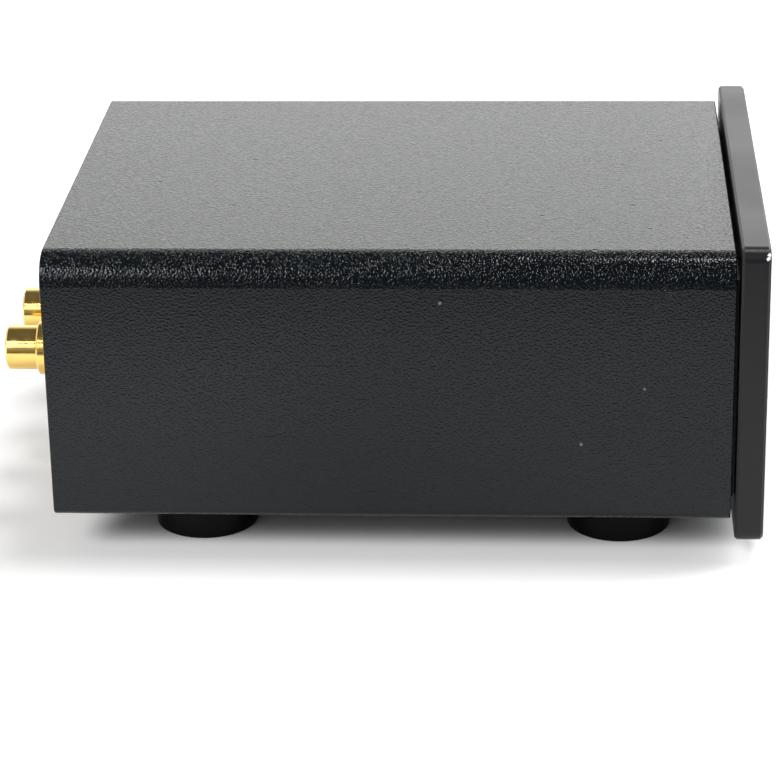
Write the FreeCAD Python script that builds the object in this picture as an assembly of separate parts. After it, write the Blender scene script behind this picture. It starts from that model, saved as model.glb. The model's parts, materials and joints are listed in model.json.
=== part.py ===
import FreeCAD, Part
import math
import os

# Moving coil step-up transformer in a painted steel case. All sizes are in millimetres.
# Axes: X to the right seen from the front, Y to the rear, Z up. The front panel faces -Y.
# The origin is on the surface the feet stand on, midway between front face and socket tips.

os.makedirs("parts", exist_ok=True)

Vector = FreeCAD.Vector
X_AXIS = Vector(1, 0, 0)
Y_AXIS = Vector(0, 1, 0)
Z_AXIS = Vector(0, 0, 1)

# How far cutting tools run past what they cut, and the smallest length that counts
overrun = 1.0
smallest = 1e-6

# Case
case_width = 98.6
case_height = 50.4
case_length = 123.8
case_clearance_to_floor = 8.3
cover_wall = 1.5
cover_top_radius = 5.5
cover_corner_radius = 0.8
cover_edge_radius = 0.3
tray_sheet = 1.5
tray_side_clearance = 0.3
tray_bend_radius = 0.6
upright_inset = 4.0
flange_edge_margin = 0.45
flange_foot_clearance = 0.15
lip_bend_gap = 0.2
lip_edge_margin = 0.3

# Front panel
panel_thickness = 5.1
panel_overhang = 0.7
panel_rise = 2.1
panel_drop = 4.1
panel_corner_radius = 2.4
panel_front_chamfer = 0.5
panel_back_chamfer = 0.4
shadow_gap = 0.8
panel_screw_inset_x = 9.5
panel_screw_inset_z = 11.0
panel_hole_floor = 1.1

# Rear panel
rear_panel_sheet = 1.5
rear_panel_inset = 0.5
rear_panel_corner_radius = 0.4
rear_screw_inset = 7.5
rear_screw_drop = 5.8
ear_width = 10.0
ear_height = 12.0

# Feet
foot_radius = 9.6
foot_front_inset = 20.0
foot_rear_inset = 26.2
foot_edge_radius = 0.3
foot_top_edge_radius = 0.4
foot_recess_radius = 4.6
foot_recess_depth = 4.2

# Screws, nuts and their clearances
small_thread_radius = 1.5
small_head_radius = 2.7
small_head_height = 1.7
flat_head_radius = 2.75
flat_head_clearance = 0.05
small_nut_flats = 5.5
small_nut_height = 2.4
large_thread_radius = 2.0
large_head_radius = 3.7
large_head_height = 2.4
large_nut_flats = 7.0
large_nut_height = 3.2
nut_bevel_angle = 30
nut_bevel_share = 0.8
thread_clearance = 0.03
hole_clearance = 0.2
screw_tip_beyond_nut = 0.8
screw_tip_chamfer = 0.3
pan_head_round_share = 0.55
recess_width = 0.7
recess_share_of_head = 1.3
recess_depth = 1.0
clinch_collar_radius = 2.7
clinch_collar_height = 1.8
clinch_pilot_radius = 2.1
clinch_edge_radius = 0.3
clinch_fit = 0.02
stud_head_radius = 2.3
stud_head_height = 0.9
cover_screw_end_inset = 14.0

# Phono sockets
socket_spacing = 19.5
socket_above_ground = 11.5
barrel_radius = 4.15
barrel_length = 5.9
barrel_tip_chamfer = 0.4
flange_radius = 5.05
flange_thickness = 2.8
flange_edge_chamfer = 0.3
bush_bore_radius = 3.2
bush_wall = 0.8
bush_tip_beyond_nut = 1.5
washer_rim = 0.72
outer_washer_thickness = 2.0
inner_washer_thickness = 1.2
shoulder_wall = 0.85
shoulder_end_gap = 0.1
tag_thickness = 0.5
tag_ring_width = 1.5
tag_width = 3.0
tag_end_radius = 1.36
tag_hole_above_bus = 2.8
tag_end_margin = 2.5
socket_nut_flats = 11.0
socket_nut_height = 2.5
insulator_recess = 0.8
insulator_tail = 0.6
contact_bore_radius = 1.62
contact_wall = 0.53
contact_bore_depth = 14.5
contact_end_wall = 0.7
contact_tail_radius = 1.2
contact_tail_length = 5.4
cup_depth = 2.5
socket_fit = 0.03

# Ground terminal
ground_lip_gap = 0.8
ground_stud_reach = 10.0
ground_head_round = 0.8
ground_tip_chamfer = 0.6
ground_nut_height = 2.4
ground_washer_radius = 4.2
ground_washer_thickness = 0.8
thumb_neck_radius = 2.65
thumb_neck_gap = 0.1
thumb_neck_fit = 0.07
thumb_nut_radius = 4.5
thumb_knurl_length = 4.0
thumb_collar_radius = 3.4
thumb_collar_length = 1.5
thumb_bore_fit = 0.06
knurl_count = 36
knurl_depth = 0.28
knurl_end_chamfer = 0.4
lug_thickness = 0.5
lug_ring_radius = 3.6
lug_width = 4.0
lug_head_gap = 1.8
lug_reach = 7.0
lug_hole_from_end = 1.6

# Transformers
can_wall = 0.8
can_edge_radius = 1.2
can_core_gap = 0.47
can_spacing_gap = 6.0
strap_to_foot_nut = 2.0
lid_thickness = 0.8
lid_ring_gap = 0.3
lid_ring_wall = 0.7
lid_fit = 0.1
pad_thickness = 1.5
pad_margin = 1.0
core_leg = 4.0
core_stack = 12.0
window_width = 6.0
lead_room_above_lid = 13.0
bobbin_gap = 0.2
bobbin_wall = 0.8
bobbin_flange_gap = 0.3
primary_thickness = 1.9
secondary_thickness = 2.2
winding_gap = 0.05
winding_end_gap = 0.1
winding_corner_radius = 1.0
strap_width = 10.0
strap_thickness = 1.0
strap_side_gap = 1.2
strap_bend_radius = 1.0
strap_foot = 8.0

# Leads
lead_radius = 0.65
lead_hole_clearance = 0.1
bushing_radius = 1.5
bushing_flange_radius = 2.3
bushing_flange_height = 0.8
bushing_tail = 0.8
bushing_fit = 0.05
return_lead_room = 3.5
lead_separation = 3.5
lead_slope = 1.8
lead_slope_length = 12.0
hot_lead_straight = 7.0
return_lead_straight = 12.0
lead_end_in_tag = 0.5
bus_radius = 0.5
bus_gap = 0.05
bus_overhang = 3.0
bus_nut_gap = 0.35
drop_first_share = 0.5
drop_second_share = 0.75
arc_share = 0.45

# Places worked out from the sizes above
socket_reach = outer_washer_thickness + flange_thickness + barrel_length - rear_panel_inset
depth_total = panel_thickness + shadow_gap + case_length + socket_reach
panel_front_y = -depth_total / 2
panel_back_y = panel_front_y + panel_thickness
case_front_y = panel_back_y + shadow_gap
case_rear_y = case_front_y + case_length
case_bottom_z = case_clearance_to_floor
case_top_z = case_bottom_z + case_height
panel_top_z = case_top_z + panel_rise
panel_bottom_z = case_bottom_z - panel_drop
panel_width = case_width + 2 * panel_overhang
panel_hole_depth = panel_thickness - panel_hole_floor
rear_outer_y = case_rear_y - rear_panel_inset
rear_inner_y = rear_outer_y - rear_panel_sheet
tray_bottom_z = case_bottom_z + cover_wall
tray_top_z = tray_bottom_z + tray_sheet
tray_half_width = case_width / 2 - cover_wall - tray_side_clearance
inner_top_z = case_top_z - cover_wall - tray_side_clearance
inner_corner_radius = cover_top_radius - cover_wall - tray_side_clearance
cover_lower_radius = cover_wall + tray_side_clearance
flange_width = cover_lower_radius + 2 * (flat_head_radius + flange_edge_margin)
flange_inner_x = case_width / 2 - flange_width
cover_screw_x = (flange_inner_x + case_width / 2 - cover_lower_radius) / 2
cover_screw_rows_y = (case_front_y + cover_screw_end_inset, case_rear_y - cover_screw_end_inset)
rear_screw_x = tray_half_width - rear_screw_inset
rear_screw_low_z = tray_top_z + tray_bend_radius + clinch_collar_radius + lip_bend_gap
rear_screw_high_z = inner_top_z - rear_screw_drop
lip_top_z = rear_screw_low_z + clinch_collar_radius + lip_edge_margin
foot_x = flange_inner_x - flange_foot_clearance - foot_radius
foot_front_y = case_front_y + foot_front_inset
foot_rear_y = case_rear_y - foot_rear_inset
ground_x = 0.0
ground_z = lip_top_z + lug_ring_radius + ground_lip_gap
socket_z = ground_z + socket_above_ground
bush_radius = bush_bore_radius + bush_wall
contact_radius = contact_bore_radius + contact_wall
shoulder_radius = bush_radius + socket_fit + shoulder_wall
washer_radius = shoulder_radius + washer_rim
tag_outer_y = rear_inner_y - inner_washer_thickness
tag_inner_y = tag_outer_y - tag_thickness
bus_z = socket_z + socket_nut_flats / math.sqrt(3) + bus_nut_gap + bus_radius
tag_hole_z = bus_z + tag_hole_above_bus
lug_top_z = ground_z + large_head_radius + lug_head_gap + lug_thickness
core_half_width = 2 * core_leg + window_width
core_bottom_z = tray_top_z + can_wall + pad_thickness
lid_top_z = inner_top_z - lead_room_above_lid
lid_bottom_z = lid_top_z - lid_thickness
can_height = lid_bottom_z - tray_top_z
core_height = can_height - can_wall - 2 * pad_thickness
window_height = core_height - 2 * core_leg
can_radius = math.hypot(core_half_width, core_stack / 2) + can_core_gap + can_wall
can_offset_x = can_radius + can_spacing_gap / 2
bobbin_bottom_z = core_bottom_z + core_leg + bobbin_gap
bobbin_height = window_height - 2 * bobbin_gap
bobbin_top_z = bobbin_bottom_z + bobbin_height
bobbin_flange = window_width - bobbin_gap - bobbin_flange_gap
lead_offset_x = core_leg + bobbin_gap + bobbin_flange - lead_radius - bushing_fit
lead_offset_y = core_stack / 2 + (bobbin_gap + bobbin_flange) / 2
strap_inner = can_radius + strap_side_gap
strap_end = strap_inner + strap_thickness + strap_foot
strap_screw_offset = strap_end - strap_foot / 2
can_y = foot_front_y + large_nut_flats / math.sqrt(3) + strap_to_foot_nut + strap_end
return_top_z = inner_top_z - return_lead_room
hot_top_z = return_top_z - lead_separation
SIDES = {"left": -1, "right": 1}
SOCKETS = {"input": 1.5, "output": 0.5}


def placed(shape, origin, direction):
    """Move a shape made along +Z so that it starts at origin and runs along direction."""
    turn = FreeCAD.Rotation(Z_AXIS, direction)
    shape.Placement = FreeCAD.Placement(origin, turn)
    return shape


def box(low, high):
    size = high - low
    return Part.makeBox(size.x, size.y, size.z, low)


def rod(radius, origin, direction, length):
    return Part.makeCylinder(radius, length, origin, direction)


def corner_arc(before, corner, after, radius):
    """Start, middle and end of the arc that rounds a corner between two straight runs."""
    back = (before - corner).normalize()
    ahead = (after - corner).normalize()
    half_angle = back.getAngle(ahead) / 2
    reach = radius / math.tan(half_angle)
    middle_way = (back + ahead).normalize()
    centre = corner + middle_way * (radius / math.sin(half_angle))
    return corner + back * reach, centre - middle_way * radius, corner + ahead * reach


def rounded_wire(points, radii):
    """Closed wire through points, each corner rounded by its radius where that isn't zero."""
    joints = []
    count = len(points)
    for i in range(count):
        if radii[i] > 0:
            joints.append(corner_arc(points[i - 1], points[i], points[(i + 1) % count], radii[i]))
        else:
            joints.append((points[i], None, points[i]))
    edges = []
    for i in range(count):
        start, middle, end = joints[i]
        if middle is not None:
            edges.append(Part.Arc(start, middle, end).toShape())
        following = joints[(i + 1) % count][0]
        if end.distanceToPoint(following) > smallest:
            edges.append(Part.LineSegment(end, following).toShape())
    return Part.Wire(edges)


def plate(corners, plane, start, length):
    """Solid of an outline, given as (a, b) or (a, b, radius), drawn in a plane and made length thick."""
    places = {
        "xy": (lambda a, b: Vector(a, b, start), Z_AXIS),
        "xz": (lambda a, b: Vector(a, start, b), Y_AXIS),
        "yz": (lambda a, b: Vector(start, a, b), X_AXIS),
    }
    place, normal = places[plane]
    points = [place(corner[0], corner[1]) for corner in corners]
    radii = [corner[2] if len(corner) > 2 else 0 for corner in corners]
    return Part.Face(rounded_wire(points, radii)).extrude(normal * length)


def rectangle(half_a, low_b, high_b, low_radius, high_radius):
    """Corners of a rectangle that is centred across and runs from low_b to high_b."""
    return [
        (-half_a, low_b, low_radius),
        (half_a, low_b, low_radius),
        (half_a, high_b, high_radius),
        (-half_a, high_b, high_radius),
    ]


def turned(profile, origin, direction):
    """Solid of revolution from (along, radius) or (along, radius, corner radius) points."""
    points = [Vector(point[1], 0, point[0]) for point in profile]
    radii = [point[2] if len(point) > 2 else 0 for point in profile]
    solid = Part.Face(rounded_wire(points, radii)).revolve(Vector(0, 0, 0), Z_AXIS, 360)
    return placed(solid, origin, direction)


def tube(outer, inner, origin, direction, length):
    return rod(outer, origin, direction, length).cut(rod(inner, origin, direction, length))


def hex_nut(flats, height, thread_radius, origin, direction):
    """Hexagon nut with both outer edges bevelled."""
    corner_radius = flats / math.sqrt(3)
    bevel = (corner_radius - flats / 2) * nut_bevel_share
    points = []
    for i in range(6):
        angle = math.radians(60 * i + 30)
        points.append(Vector(corner_radius * math.cos(angle), corner_radius * math.sin(angle), 0))
    prism = Part.Face(Part.makePolygon(points + [points[0]])).extrude(Z_AXIS * height)
    drop = bevel * math.tan(math.radians(nut_bevel_angle))
    bore = thread_radius + thread_clearance
    blank = turned(
        [
            (0, bore),
            (0, corner_radius - bevel),
            (drop, corner_radius),
            (height - drop, corner_radius),
            (height, corner_radius - bevel),
            (height, bore),
        ],
        Vector(0, 0, 0),
        Z_AXIS,
    )
    return placed(prism.common(blank), origin, direction)


def pan_screw(head_radius, head_height, thread_radius, length, seat, direction):
    """Cross-recessed pan-head screw whose head rests at seat and whose tip points along direction."""
    body = turned(
        [
            (-head_height, 0),
            (-head_height, head_radius, head_height * pan_head_round_share),
            (0, head_radius),
            (0, thread_radius),
            (length - screw_tip_chamfer, thread_radius),
            (length, thread_radius - screw_tip_chamfer),
            (length, 0),
        ],
        Vector(0, 0, 0),
        Z_AXIS,
    )
    return placed(cross_recessed(body, head_radius, -head_height), seat, direction)


def flat_screw(length, face, direction):
    """Small cross-recessed countersunk screw whose head is flush with the face it is sunk in."""
    cone_depth = flat_head_radius - small_thread_radius
    body = turned(
        [
            (0, 0),
            (0, flat_head_radius),
            (cone_depth, small_thread_radius),
            (length - screw_tip_chamfer, small_thread_radius),
            (length, small_thread_radius - screw_tip_chamfer),
            (length, 0),
        ],
        Vector(0, 0, 0),
        Z_AXIS,
    )
    return placed(cross_recessed(body, flat_head_radius, 0), face, direction)


def cross_recessed(body, head_radius, top_z):
    """Cut a cross recess into a screw head whose top is at top_z."""
    half_long = head_radius / recess_share_of_head / math.sqrt(2)
    half_wide = recess_width / 2
    for half_x, half_y in ((half_long, half_wide), (half_wide, half_long)):
        slot = box(Vector(-half_x, -half_y, top_z - overrun), Vector(half_x, half_y, top_z + recess_depth))
        body = body.cut(slot)
    return body


def small_screw(length, seat, direction):
    return pan_screw(small_head_radius, small_head_height, small_thread_radius, length, seat, direction)


def lead_path(points, held):
    """Straight runs joined by tangent arcs, as large as the runs at each turn allow."""
    edges = []
    start = points[0]
    for i in range(1, len(points) - 1):
        before = points[i] - points[i - 1]
        after = points[i + 1] - points[i]
        reach = arc_share * min(before.Length, after.Length)
        if i == 1:
            reach = min(reach, before.Length - held)
        turn = before.getAngle(after)
        bend = reach / math.tan(turn / 2)
        first, middle, last = corner_arc(points[i - 1], points[i], points[i + 1], bend)
        edges.append(Part.LineSegment(start, first).toShape())
        edges.append(Part.Arc(first, middle, last).toShape())
        start = last
    edges.append(Part.LineSegment(start, points[-1]).toShape())
    return Part.Wire(edges)


def lead(points, held):
    """Round insulated wire along points. Its first stretch, held long, stays straight in its hole."""
    path = lead_path(points, held)
    circle = Part.Wire(Part.makeCircle(lead_radius, points[0], points[1] - points[0]))
    wire = path.makePipeShell([circle], True, False)
    expected = math.pi * lead_radius ** 2 * path.Length
    print("lead length %.1f volume share %.4f" % (path.Length, wire.Volume / expected))
    return wire


def cover():
    """Bent cover: top, two sides, inward flanges below and two ears at the rear."""
    half = case_width / 2
    outside = plate(
        rectangle(half, case_bottom_z, case_top_z, cover_lower_radius, cover_top_radius),
        "xz", case_front_y, case_length,
    )
    ends = [edge for edge in outside.Edges if edge.BoundBox.YLength < smallest]
    outside = outside.makeFillet(cover_edge_radius, ends)
    inside = plate(
        rectangle(
            half - cover_wall, case_bottom_z + cover_wall, case_top_z - cover_wall,
            cover_lower_radius - cover_wall, cover_top_radius - cover_wall,
        ),
        "xz", case_front_y - overrun, case_length + 2 * overrun,
    )
    slot = box(
        Vector(-flange_inner_x, case_front_y - overrun, case_bottom_z - overrun),
        Vector(flange_inner_x, case_rear_y + overrun, case_bottom_z + cover_wall + overrun),
    )
    shell = outside.cut(inside).cut(slot)
    for end_y, way in ((case_front_y, 1), (case_rear_y, -1)):
        shell = shell.cut(corner_cutter(end_y, way))
    for side in SIDES.values():
        shell = shell.fuse(cover_ear(side))
    for point in cover_screw_points():
        shell = shell.cut(rod(small_thread_radius + hole_clearance, point, Z_AXIS, tray_bottom_z))
        shell = shell.cut(countersink(point + Vector(0, 0, case_bottom_z)))
    return shell.removeSplitter()


def countersink(face):
    """Cone that is cut from the cover's flange under a screw head."""
    depth = flat_head_radius - small_thread_radius + flat_head_clearance
    wide = flat_head_radius + flat_head_clearance
    return Part.makeCone(wide, wide - depth, depth, face, Z_AXIS)


def corner_cutter(end_y, way):
    """What is cut away to round the lower corner of the cover's sides at one end."""
    r = cover_corner_radius
    beyond_y = end_y - way * overrun
    centre_y = end_y + way * r
    corner = box(
        Vector(-case_width, min(beyond_y, centre_y), case_bottom_z - overrun),
        Vector(case_width, max(beyond_y, centre_y), case_bottom_z + r),
    )
    round_part = rod(r, Vector(-case_width, centre_y, case_bottom_z + r), X_AXIS, 2 * case_width)
    return corner.cut(round_part)


def cover_ear(side):
    """Folded tab at a top rear corner of the cover, which takes a rear panel screw."""
    centre_x = side * rear_screw_x
    roof_z = case_top_z - cover_wall / 2
    floor_z = case_top_z - cover_wall - ear_height
    ear = box(
        Vector(centre_x - ear_width / 2, rear_inner_y - tray_sheet, floor_z),
        Vector(centre_x + ear_width / 2, rear_inner_y, roof_z),
    )
    pilot = Vector(centre_x, rear_inner_y - tray_sheet, rear_screw_high_z)
    return ear.cut(rod(clinch_pilot_radius + clinch_fit, pilot, Y_AXIS, tray_sheet))


def base_tray():
    """Bent tray: bottom, front upright and low rear lip, with its screw holes."""
    bend_out = tray_bend_radius + tray_sheet
    front = panel_back_y
    rear = rear_inner_y
    upright_top_z = inner_top_z - upright_inset
    tray = plate(
        [
            (front, tray_bottom_z, bend_out),
            (rear, tray_bottom_z, bend_out),
            (rear, lip_top_z),
            (rear - tray_sheet, lip_top_z),
            (rear - tray_sheet, tray_top_z, tray_bend_radius),
            (front + tray_sheet, tray_top_z, tray_bend_radius),
            (front + tray_sheet, upright_top_z),
            (front, upright_top_z),
        ],
        "yz", -tray_half_width, 2 * tray_half_width,
    )
    for side in SIDES.values():
        edge_x = side * (tray_half_width - upright_inset)
        beyond_x = side * case_width
        tray = tray.cut(
            box(
                Vector(min(edge_x, beyond_x), front - overrun, tray_bottom_z - overrun),
                Vector(max(edge_x, beyond_x), front + bend_out, case_top_z),
            )
        )
    for point in foot_points():
        tray = tray.cut(rod(large_thread_radius + hole_clearance, point, Z_AXIS, tray_top_z))
    for point in cover_screw_points():
        tray = tray.cut(rod(clinch_pilot_radius + clinch_fit, point, Z_AXIS, tray_top_z))
    for point in strap_screw_points():
        tray = tray.cut(rod(small_thread_radius + clinch_fit, point, Z_AXIS, tray_top_z))
        tray = tray.cut(rod(stud_head_radius + clinch_fit, point, Z_AXIS, tray_bottom_z + stud_head_height))
    for x, z in front_screw_places():
        tray = tray.cut(rod(small_thread_radius + hole_clearance, Vector(x, front, z), Y_AXIS, tray_sheet))
    for side in SIDES.values():
        pilot = Vector(side * rear_screw_x, rear - tray_sheet, rear_screw_low_z)
        tray = tray.cut(rod(clinch_pilot_radius + clinch_fit, pilot, Y_AXIS, tray_sheet))
    return tray


def foot_points():
    """Points on the floor under the centre of each foot."""
    points = []
    for y in (foot_front_y, foot_rear_y):
        for side in SIDES.values():
            points.append(Vector(side * foot_x, y, 0))
    return points


def cover_screw_points():
    points = []
    for y in cover_screw_rows_y:
        for side in SIDES.values():
            points.append(Vector(side * cover_screw_x, y, 0))
    return points


def strap_screw_points():
    points = []
    for side in SIDES.values():
        for way in (-1, 1):
            points.append(Vector(side * can_offset_x, can_y + way * strap_screw_offset, 0))
    return points


def front_screw_places():
    """Across and up places of the front panel screws on the tray's upright."""
    places = []
    for side in SIDES.values():
        for z in (tray_top_z + panel_screw_inset_z, inner_top_z - panel_screw_inset_z):
            places.append((side * (tray_half_width - panel_screw_inset_x), z))
    return places


def rear_screw_places():
    places = []
    for side in SIDES.values():
        for z in (rear_screw_low_z, rear_screw_high_z):
            places.append((side * rear_screw_x, z))
    return places


def front_panel():
    """Thick plate with rounded corners, bevelled rims and four blind holes in its back."""
    r = panel_corner_radius
    panel = plate(
        rectangle(panel_width / 2, panel_bottom_z, panel_top_z, r, r),
        "xz", panel_front_y, panel_thickness,
    )
    for face_y, size in ((panel_front_y, panel_front_chamfer), (panel_back_y, panel_back_chamfer)):
        rim = []
        for edge in panel.Edges:
            flat = edge.BoundBox.YLength < smallest
            if flat and abs(edge.BoundBox.YMin - face_y) < smallest:
                rim.append(edge)
        panel = panel.makeChamfer(size, rim)
    for x, z in front_screw_places():
        start = Vector(x, panel_back_y - panel_hole_depth, z)
        panel = panel.cut(rod(small_thread_radius + thread_clearance, start, Y_AXIS, panel_hole_depth))
    return panel


def rear_panel():
    """Flat panel with holes for four sockets, the ground stud and four screws."""
    low_radius = rear_panel_corner_radius
    high_radius = inner_corner_radius
    panel = plate(
        rectangle(tray_half_width, tray_bottom_z, inner_top_z, low_radius, high_radius),
        "xz", rear_inner_y, rear_panel_sheet,
    )
    holes = [(ground_x, ground_z, large_thread_radius + hole_clearance)]
    for x in socket_places().values():
        holes.append((x, socket_z, shoulder_radius + socket_fit))
    for x, z in rear_screw_places():
        holes.append((x, z, small_thread_radius + hole_clearance))
    for x, z, radius in holes:
        panel = panel.cut(rod(radius, Vector(x, rear_inner_y, z), Y_AXIS, rear_panel_sheet))
    return panel


def socket_places():
    """Across place of each socket by name. Inputs are outermost and outputs innermost."""
    places = {}
    for side_name, side in SIDES.items():
        for use, steps in SOCKETS.items():
            places[side_name + "_" + use] = side * steps * socket_spacing
    return places


def front_panel_screws():
    seat_y = panel_back_y + tray_sheet
    length = tray_sheet + panel_hole_depth - screw_tip_beyond_nut
    return [small_screw(length, Vector(x, seat_y, z), -Y_AXIS) for x, z in front_screw_places()]


def cover_screws():
    length = cover_wall + tray_sheet + clinch_collar_height + screw_tip_beyond_nut
    faces = [point + Vector(0, 0, case_bottom_z) for point in cover_screw_points()]
    return [flat_screw(length, face, Z_AXIS) for face in faces]


def rear_panel_screws():
    length = rear_panel_sheet + tray_sheet + clinch_collar_height + screw_tip_beyond_nut
    return [small_screw(length, Vector(x, rear_outer_y, z), -Y_AXIS) for x, z in rear_screw_places()]


def clinch_nut(origin, direction):
    """Round nut whose pilot is pressed into the sheet and whose collar stands behind it."""
    bore = small_thread_radius + thread_clearance
    return turned(
        [
            (0, bore),
            (0, clinch_pilot_radius),
            (tray_sheet, clinch_pilot_radius),
            (tray_sheet, clinch_collar_radius),
            (tray_sheet + clinch_collar_height, clinch_collar_radius, clinch_edge_radius),
            (tray_sheet + clinch_collar_height, bore),
        ],
        origin, direction,
    )


def clinch_nuts():
    nuts = [clinch_nut(point + Vector(0, 0, tray_bottom_z), Z_AXIS) for point in cover_screw_points()]
    for x, z in rear_screw_places():
        nuts.append(clinch_nut(Vector(x, rear_inner_y, z), -Y_AXIS))
    return nuts


def foot(point):
    """Round rubber foot with a recess for its screw."""
    hole = large_thread_radius + hole_clearance
    return turned(
        [
            (0, foot_recess_radius),
            (0, foot_radius, foot_edge_radius),
            (tray_bottom_z, foot_radius, foot_top_edge_radius),
            (tray_bottom_z, hole),
            (foot_recess_depth, hole),
            (foot_recess_depth, foot_recess_radius),
        ],
        point, Z_AXIS,
    )


def foot_screws():
    length = tray_top_z - foot_recess_depth + large_nut_height + screw_tip_beyond_nut
    screws = []
    for point in foot_points():
        seat = point + Vector(0, 0, foot_recess_depth)
        screws.append(
            pan_screw(large_head_radius, large_head_height, large_thread_radius, length, seat, Z_AXIS)
        )
    return screws


def foot_nuts():
    nuts = []
    for point in foot_points():
        seat = point + Vector(0, 0, tray_top_z)
        nuts.append(hex_nut(large_nut_flats, large_nut_height, large_thread_radius, seat, Z_AXIS))
    return nuts


def socket_origin(x):
    """Centre of a socket's hole on the rear panel's outer face."""
    return Vector(x, rear_outer_y, socket_z)


def socket_bush_end():
    """How far inside the rear panel's outer face a socket's threaded bush ends."""
    stack = rear_panel_sheet + inner_washer_thickness + tag_thickness + socket_nut_height
    return -(stack + bush_tip_beyond_nut)


def socket_shell(x):
    """Plated shell: barrel that the plug grips, flange, and threaded bush behind it."""
    flange_back = outer_washer_thickness
    flange_front = flange_back + flange_thickness
    tip = flange_front + barrel_length
    return turned(
        [
            (socket_bush_end(), bush_bore_radius),
            (socket_bush_end(), bush_radius),
            (flange_back, bush_radius),
            (flange_back, flange_radius),
            (flange_front - flange_edge_chamfer, flange_radius),
            (flange_front, flange_radius - flange_edge_chamfer),
            (flange_front, barrel_radius),
            (tip - barrel_tip_chamfer, barrel_radius),
            (tip, barrel_radius - barrel_tip_chamfer),
            (tip, bush_bore_radius),
        ],
        socket_origin(x), Y_AXIS,
    )


def socket_mouth():
    """Where the insulator and the centre contact end, measured out from the rear panel."""
    return outer_washer_thickness + flange_thickness + barrel_length - insulator_recess


def socket_insulator(x):
    start = socket_origin(x) + Y_AXIS * (socket_bush_end() - insulator_tail)
    length = socket_mouth() - socket_bush_end() + insulator_tail
    return tube(bush_bore_radius - socket_fit, contact_radius + socket_fit, start, Y_AXIS, length)


def socket_contact(x):
    """Centre contact: bored tube for the plug's pin, and a tail with a solder cup."""
    mouth = socket_mouth()
    bore_end = mouth - contact_bore_depth
    body_end = bore_end - contact_end_wall
    tail_end = body_end - contact_tail_length
    contact = turned(
        [
            (tail_end, 0),
            (tail_end, contact_tail_radius),
            (body_end, contact_tail_radius),
            (body_end, contact_radius),
            (mouth, contact_radius),
            (mouth, contact_bore_radius),
            (bore_end, contact_bore_radius),
            (bore_end, 0),
        ],
        socket_origin(x), Y_AXIS,
    )
    cup = rod(lead_radius + bushing_fit, socket_origin(x) + Y_AXIS * tail_end, Y_AXIS, cup_depth)
    return contact.cut(cup)


def socket_tail_end_y():
    return rear_outer_y + socket_mouth() - contact_bore_depth - contact_end_wall - contact_tail_length


def outer_washer(x):
    """Insulating washer under the flange, with a shoulder that lines the panel's hole."""
    bore = bush_radius + socket_fit
    return turned(
        [
            (shoulder_end_gap - rear_panel_sheet, bore),
            (shoulder_end_gap - rear_panel_sheet, shoulder_radius),
            (0, shoulder_radius),
            (0, washer_radius),
            (outer_washer_thickness, washer_radius),
            (outer_washer_thickness, bore),
        ],
        socket_origin(x), Y_AXIS,
    )


def inner_washer(x):
    start = Vector(x, tag_outer_y, socket_z)
    return tube(washer_radius, bush_radius + socket_fit, start, Y_AXIS, inner_washer_thickness)


def solder_tag(x):
    """Ring tag with a tab that stands up and a hole for the return lead."""
    start = Vector(x, tag_inner_y, socket_z)
    ring = rod(bush_radius + socket_fit + tag_ring_width, start, Y_AXIS, tag_thickness)
    tab = plate(
        rectangle(tag_width / 2, socket_z, tag_hole_z + tag_end_margin, 0, tag_end_radius),
        "xz", tag_inner_y, tag_thickness,
    )
    tab.translate(Vector(x, 0, 0))
    tag = ring.fuse(tab).cut(rod(bush_radius + socket_fit, start, Y_AXIS, tag_thickness))
    hole = Vector(x, tag_inner_y, tag_hole_z)
    tag = tag.cut(rod(lead_radius + lead_hole_clearance, hole, Y_AXIS, tag_thickness))
    return tag.removeSplitter()


def socket_nut(x):
    start = Vector(x, tag_inner_y, socket_z)
    return hex_nut(socket_nut_flats, socket_nut_height, bush_radius, start, -Y_AXIS)


def ground_origin():
    """Centre of the ground stud's hole on the rear panel's outer face."""
    return Vector(ground_x, rear_outer_y, ground_z)


def ground_stud():
    head_seat = -(rear_panel_sheet + lug_thickness)
    return turned(
        [
            (head_seat - large_head_height, 0),
            (head_seat - large_head_height, large_head_radius, ground_head_round),
            (head_seat, large_head_radius),
            (head_seat, large_thread_radius),
            (ground_stud_reach - ground_tip_chamfer, large_thread_radius),
            (ground_stud_reach, large_thread_radius - ground_tip_chamfer),
            (ground_stud_reach, 0),
        ],
        ground_origin(), Y_AXIS,
    )


def ground_lug():
    """Solder lug under the stud's head: a ring and a tab that is bent inwards."""
    start = Vector(ground_x, rear_inner_y - lug_thickness, ground_z)
    ring = rod(lug_ring_radius, start, Y_AXIS, lug_thickness)
    bent = plate(
        [
            (rear_inner_y - lug_thickness, ground_z),
            (rear_inner_y, ground_z),
            (rear_inner_y, lug_top_z, lug_thickness),
            (rear_inner_y - lug_reach, lug_top_z),
            (rear_inner_y - lug_reach, lug_top_z - lug_thickness),
            (rear_inner_y - lug_thickness, lug_top_z - lug_thickness),
        ],
        "yz", ground_x - lug_width / 2, lug_width,
    )
    lug = ring.fuse(bent).cut(rod(large_thread_radius + thread_clearance, start, Y_AXIS, lug_thickness))
    hole = Vector(ground_x, ground_lead_y(), lug_top_z - lug_thickness)
    lug = lug.cut(rod(lead_radius + lead_hole_clearance, hole, Z_AXIS, lug_thickness))
    return lug.removeSplitter()


def ground_lead_y():
    return rear_inner_y - lug_reach + lug_hole_from_end


def ground_fixing_nut():
    return hex_nut(large_nut_flats, ground_nut_height, large_thread_radius, ground_origin(), Y_AXIS)


def ground_clamp_washer():
    """Washer held on the thumb nut's neck. It slides along the stud with the nut and doesn't turn."""
    start = ground_origin() + Y_AXIS * ground_nut_height
    bore = thumb_neck_radius + thumb_neck_fit
    return tube(ground_washer_radius, bore, start, Y_AXIS, ground_washer_thickness)


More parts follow.
